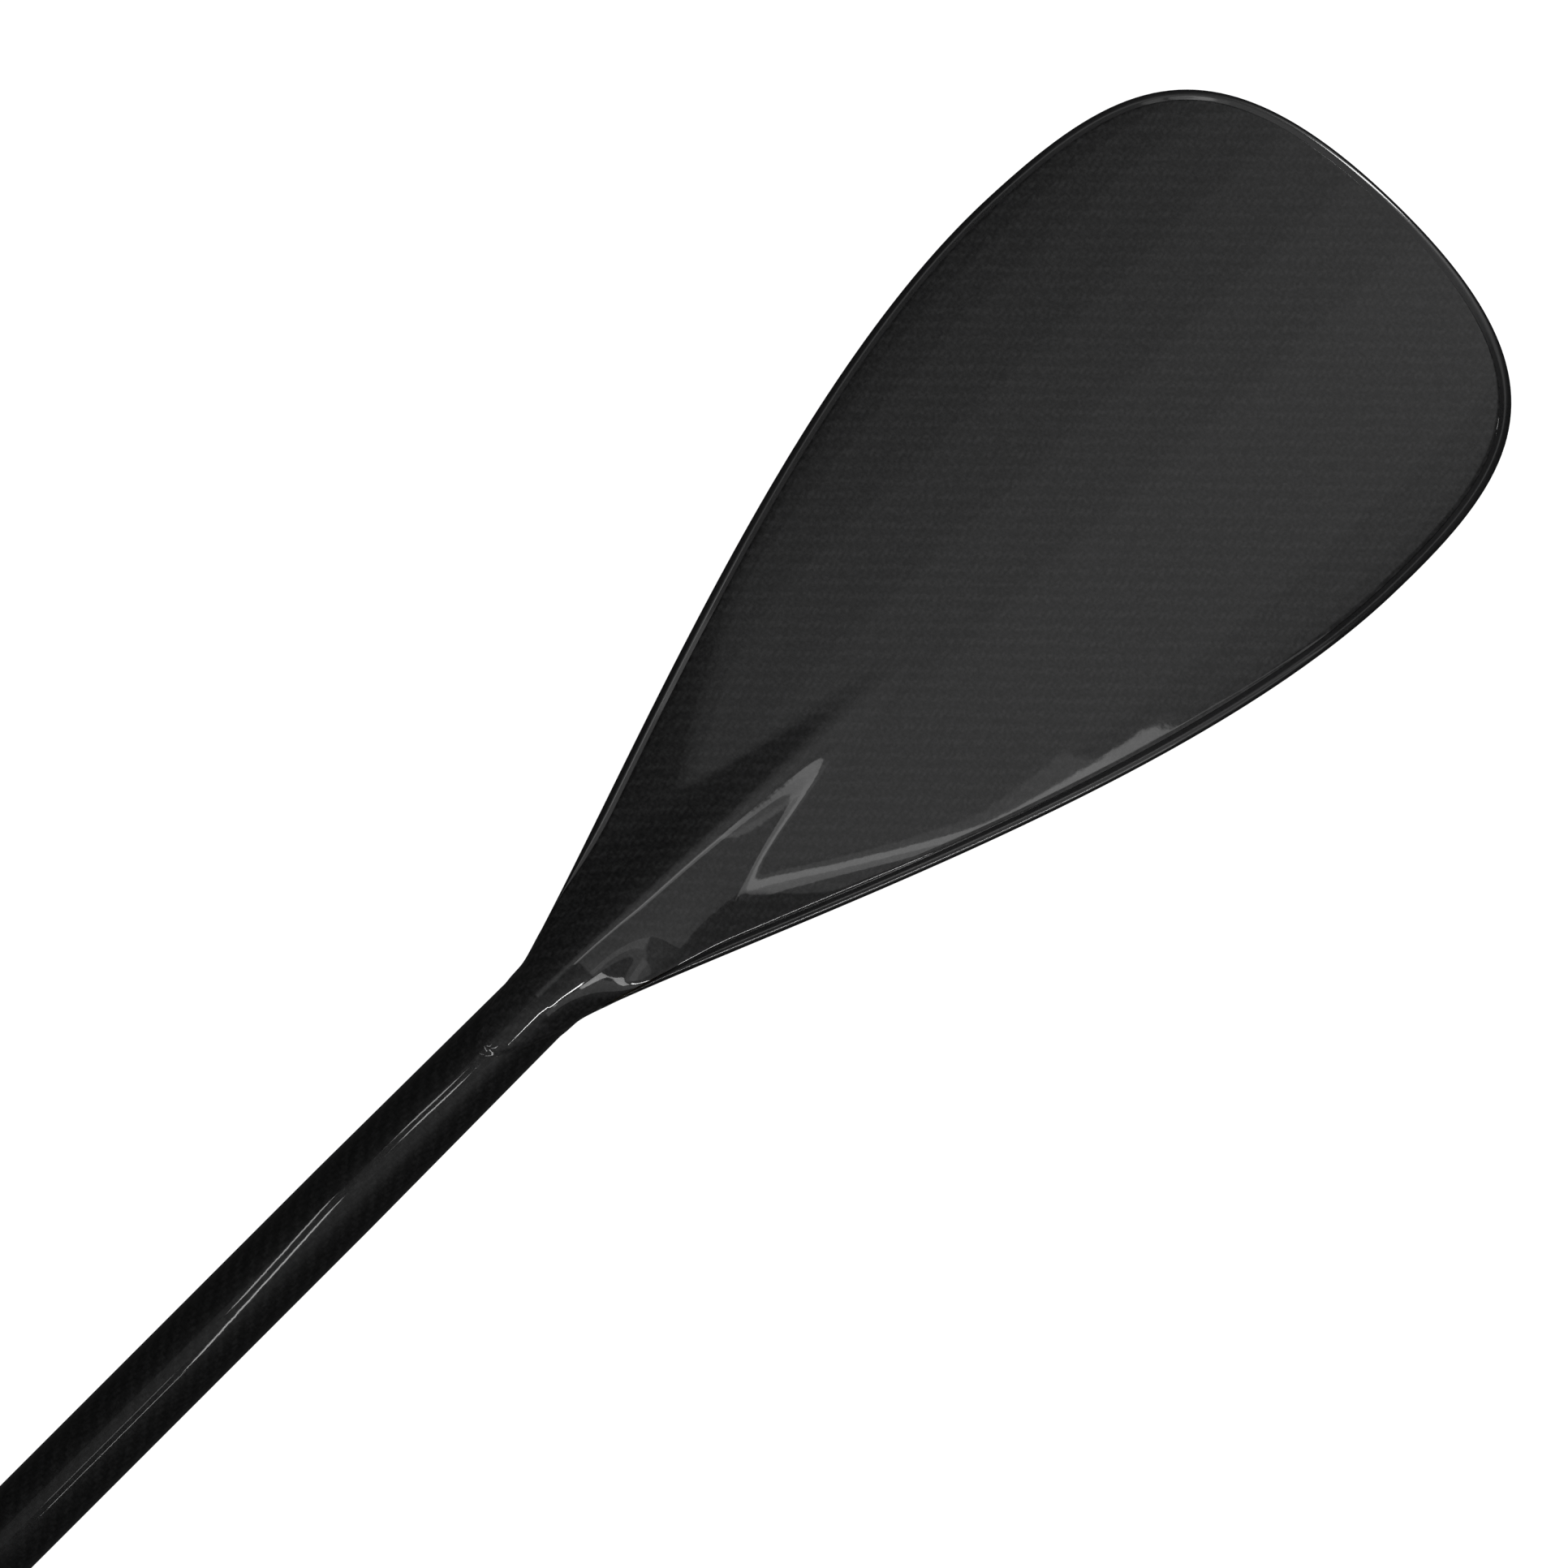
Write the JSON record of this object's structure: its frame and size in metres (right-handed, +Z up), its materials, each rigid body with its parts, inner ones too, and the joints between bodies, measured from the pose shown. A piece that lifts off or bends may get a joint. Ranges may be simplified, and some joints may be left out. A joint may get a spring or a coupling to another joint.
{
  "type": "kayak paddle",
  "caption": "Two-piece double-bladed paddle with a lever-clamped sliding and feathering centre joint and flat teardrop blades that lean off the shaft.",
  "frame": {"origin": "centre of the paddle's footprint on the ground, below the centre joint, with both halves pushed fully together", "axes": "+X along the shaft towards the right blade, +Z up out of the back faces of the blades, +Y across the blades"},
  "size_m": [2.3, 0.2186, 0.101],
  "materials": {
    "carbon_shaft": "clear-coated carbon twill",
    "carbon_blade": "clear-coated carbon twill",
    "carbon_spigot": "ground carbon tube, satin",
    "rim_resin": "resin-rich edge, gloss",
    "foam": "closed-cell foam",
    "foam_dense": "dense filled foam",
    "soft_rubber": "matt moulded rubber",
    "grip_rubber": "textured rubber",
    "anodised": "black anodised",
    "moulded": "glass-filled nylon",
    "lever_plastic": "moulded, satin",
    "saddle_plastic": "acetal",
    "stainless": "stainless",
    "brass_nut": "turned brass"
  },
  "bodies": {
    "left_half": {"left_shaft": "carbon_shaft", "left_back_skin": "carbon_blade", "left_power_skin": "carbon_blade", "left_blade_core": "foam", "left_rim": "rim_resin", "left_neck_plug": "foam_dense", "left_float_plug": "foam", "left_hand_grip": "grip_rubber", "female_sleeve": "anodised", "clamp_collar": "moulded", "clamp_bolt": "stainless", "lever_pin": "stainless", "cam_saddle": "saddle_plastic"},
    "index_ring": {"index_ring": "moulded", "ring_seal": "soft_rubber"},
    "right_half": {"right_shaft": "carbon_shaft", "right_back_skin": "carbon_blade", "right_power_skin": "carbon_blade", "right_blade_core": "foam", "right_rim": "rim_resin", "right_neck_plug": "foam_dense", "right_float_plug": "foam", "right_hand_grip": "grip_rubber", "spigot_tube": "carbon_spigot", "spigot_end_cap": "soft_rubber", "stop_ring": "moulded"},
    "lever": {"cam_lever": "lever_plastic"},
    "nut": {"tension_nut": "brass_nut"},
    "left_ring": {"left_drip_ring": "soft_rubber"},
    "right_ring": {"right_drip_ring": "soft_rubber"}
  },
  "joints": [
    {"name": "feather_angle", "type": "hinge", "parent": "left_half", "child": "index_ring", "pos_m": [0, 0, 0.07684], "axis": [1, 0, 0], "range_deg": [-60, 60]},
    {"name": "length_slide", "type": "slide", "parent": "index_ring", "child": "right_half", "axis": [1, 0, 0], "range_m": [0, 0.1]},
    {"name": "cam_lever_hinge", "type": "hinge", "parent": "left_half", "child": "lever", "pos_m": [-0.019, 0.027, 0.09104], "axis": [-1, 0, 0], "range_deg": [0, 110]},
    {"name": "tension_nut_turn", "type": "hinge", "parent": "left_half", "child": "nut", "pos_m": [-0.019, 0.027, 0.06734], "axis": [0, 0, 1], "range_deg": [-180, 180]},
    {"name": "left_ring_slide", "type": "slide", "parent": "left_half", "child": "left_ring", "axis": [-1, 0, 0], "range_m": [-0.01, 0.12]},
    {"name": "right_ring_slide", "type": "slide", "parent": "right_half", "child": "right_ring", "axis": [1, 0, 0], "range_m": [-0.01, 0.12]}
  ]
}
